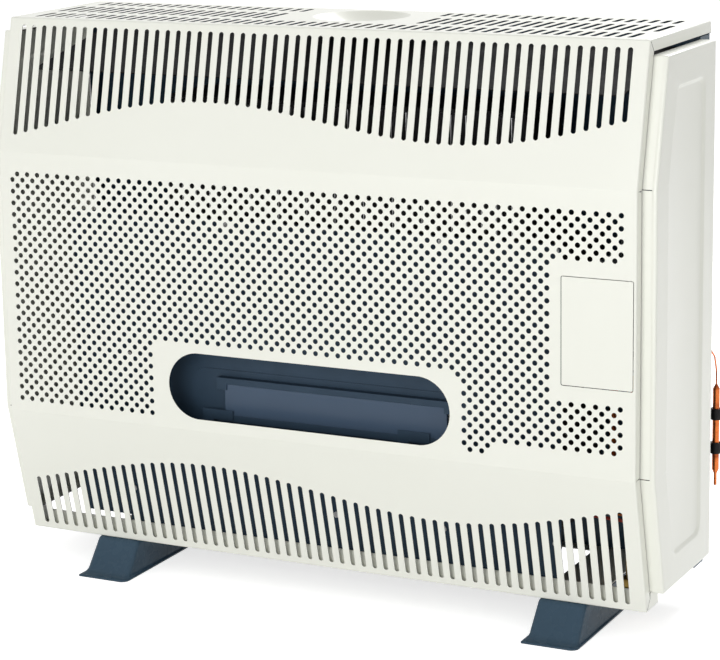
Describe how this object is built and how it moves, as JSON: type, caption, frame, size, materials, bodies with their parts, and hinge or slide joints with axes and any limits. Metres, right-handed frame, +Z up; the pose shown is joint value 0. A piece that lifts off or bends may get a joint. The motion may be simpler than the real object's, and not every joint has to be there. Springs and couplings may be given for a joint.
{
  "type": "wall mounted gas heater",
  "caption": "Balanced flue gas room heater with a folded, perforated sheet casing, a low window, a dish in the top, a hinged control door and pressed feet.",
  "frame": {"origin": "centre of the bounding box, on the floor under the feet", "axes": "+X to the right seen from the room, +Y to the wall, +Z up"},
  "size_m": [0.8312, 0.268, 0.669],
  "materials": {
    "cream_paint": "satin powder coat",
    "slate_paint": "gloss paint",
    "firebox_paint": "satin heat proof paint",
    "chamber_enamel": "matt enamel",
    "galvanised": "galvanised",
    "steel": "satin",
    "aluminium": "plain",
    "cast_alloy": "cast",
    "glass": "clear",
    "seal_rope": "woven",
    "gasket": "matt",
    "brass": "machined",
    "copper": "bare",
    "ceramic": "glazed",
    "lead_sheath": "matt",
    "black_plastic": "matt",
    "red_plastic": "gloss",
    "white_plastic": "gloss"
  },
  "bodies": {
    "casing": {"front_casing": "cream_paint", "door_hinge_pins": "steel", "door_catch": "black_plastic", "side_panel_left": "cream_paint", "side_panel_right": "cream_paint", "back_panel": "slate_paint", "base_frame": "cream_paint", "foot_left": "slate_paint", "foot_right": "slate_paint", "foot_screws": "steel", "casing_screws": "steel", "chamber_shell": "chamber_enamel", "chamber_supports": "galvanised", "chamber_front_plate": "firebox_paint", "chamber_screws": "steel", "window_glass": "glass", "glass_seal": "seal_rope", "glass_bar_top": "firebox_paint", "glass_bar_bottom": "firebox_paint", "glass_clips": "firebox_paint", "heat_exchanger": "chamber_enamel", "exchanger_fins": "aluminium", "heat_deflector": "chamber_enamel", "burner_tube": "steel", "burner_brackets": "galvanised", "gas_injector": "brass", "burner_feed_pipe": "copper", "pilot_burner": "steel", "pilot_pipe": "copper", "thermocouple": "copper", "spark_electrode": "ceramic", "ignition_lead": "lead_sheath", "gas_valve": "cast_alloy", "valve_bracket": "galvanised", "control_bracket": "galvanised", "piezo_igniter": "black_plastic", "gas_inlet_pipe": "brass", "flue_exhaust": "steel", "flue_collar": "galvanised", "flue_gasket": "gasket", "wall_brackets": "galvanised", "sensor_bulb": "copper", "sensor_capillary": "copper", "bulb_clips": "black_plastic"},
    "door": {"control_door": "cream_paint"},
    "knob": {"valve_spindle": "steel", "control_knob": "black_plastic"},
    "pilot_key": {"pilot_button": "red_plastic"},
    "igniter_key": {"igniter_button": "white_plastic"}
  },
  "joints": [
    {"name": "door_hinge", "type": "hinge", "parent": "casing", "child": "door", "pos_m": [0.3902, -0.1275, 0.3585], "axis": [0, 0, 1], "range_deg": [0, 110]},
    {"name": "knob_turn", "type": "hinge", "parent": "casing", "child": "knob", "pos_m": [0.3492, -0.081, 0.383], "axis": [0, -1, 0], "range_deg": [0, 270]},
    {"name": "pilot_press", "type": "slide", "parent": "casing", "child": "pilot_key", "axis": [0, 1, 0], "range_m": [0, 0.005], "stiffness_N_per_m": 400},
    {"name": "igniter_press", "type": "slide", "parent": "casing", "child": "igniter_key", "axis": [0, 1, 0], "range_m": [0, 0.005], "stiffness_N_per_m": 600}
  ]
}
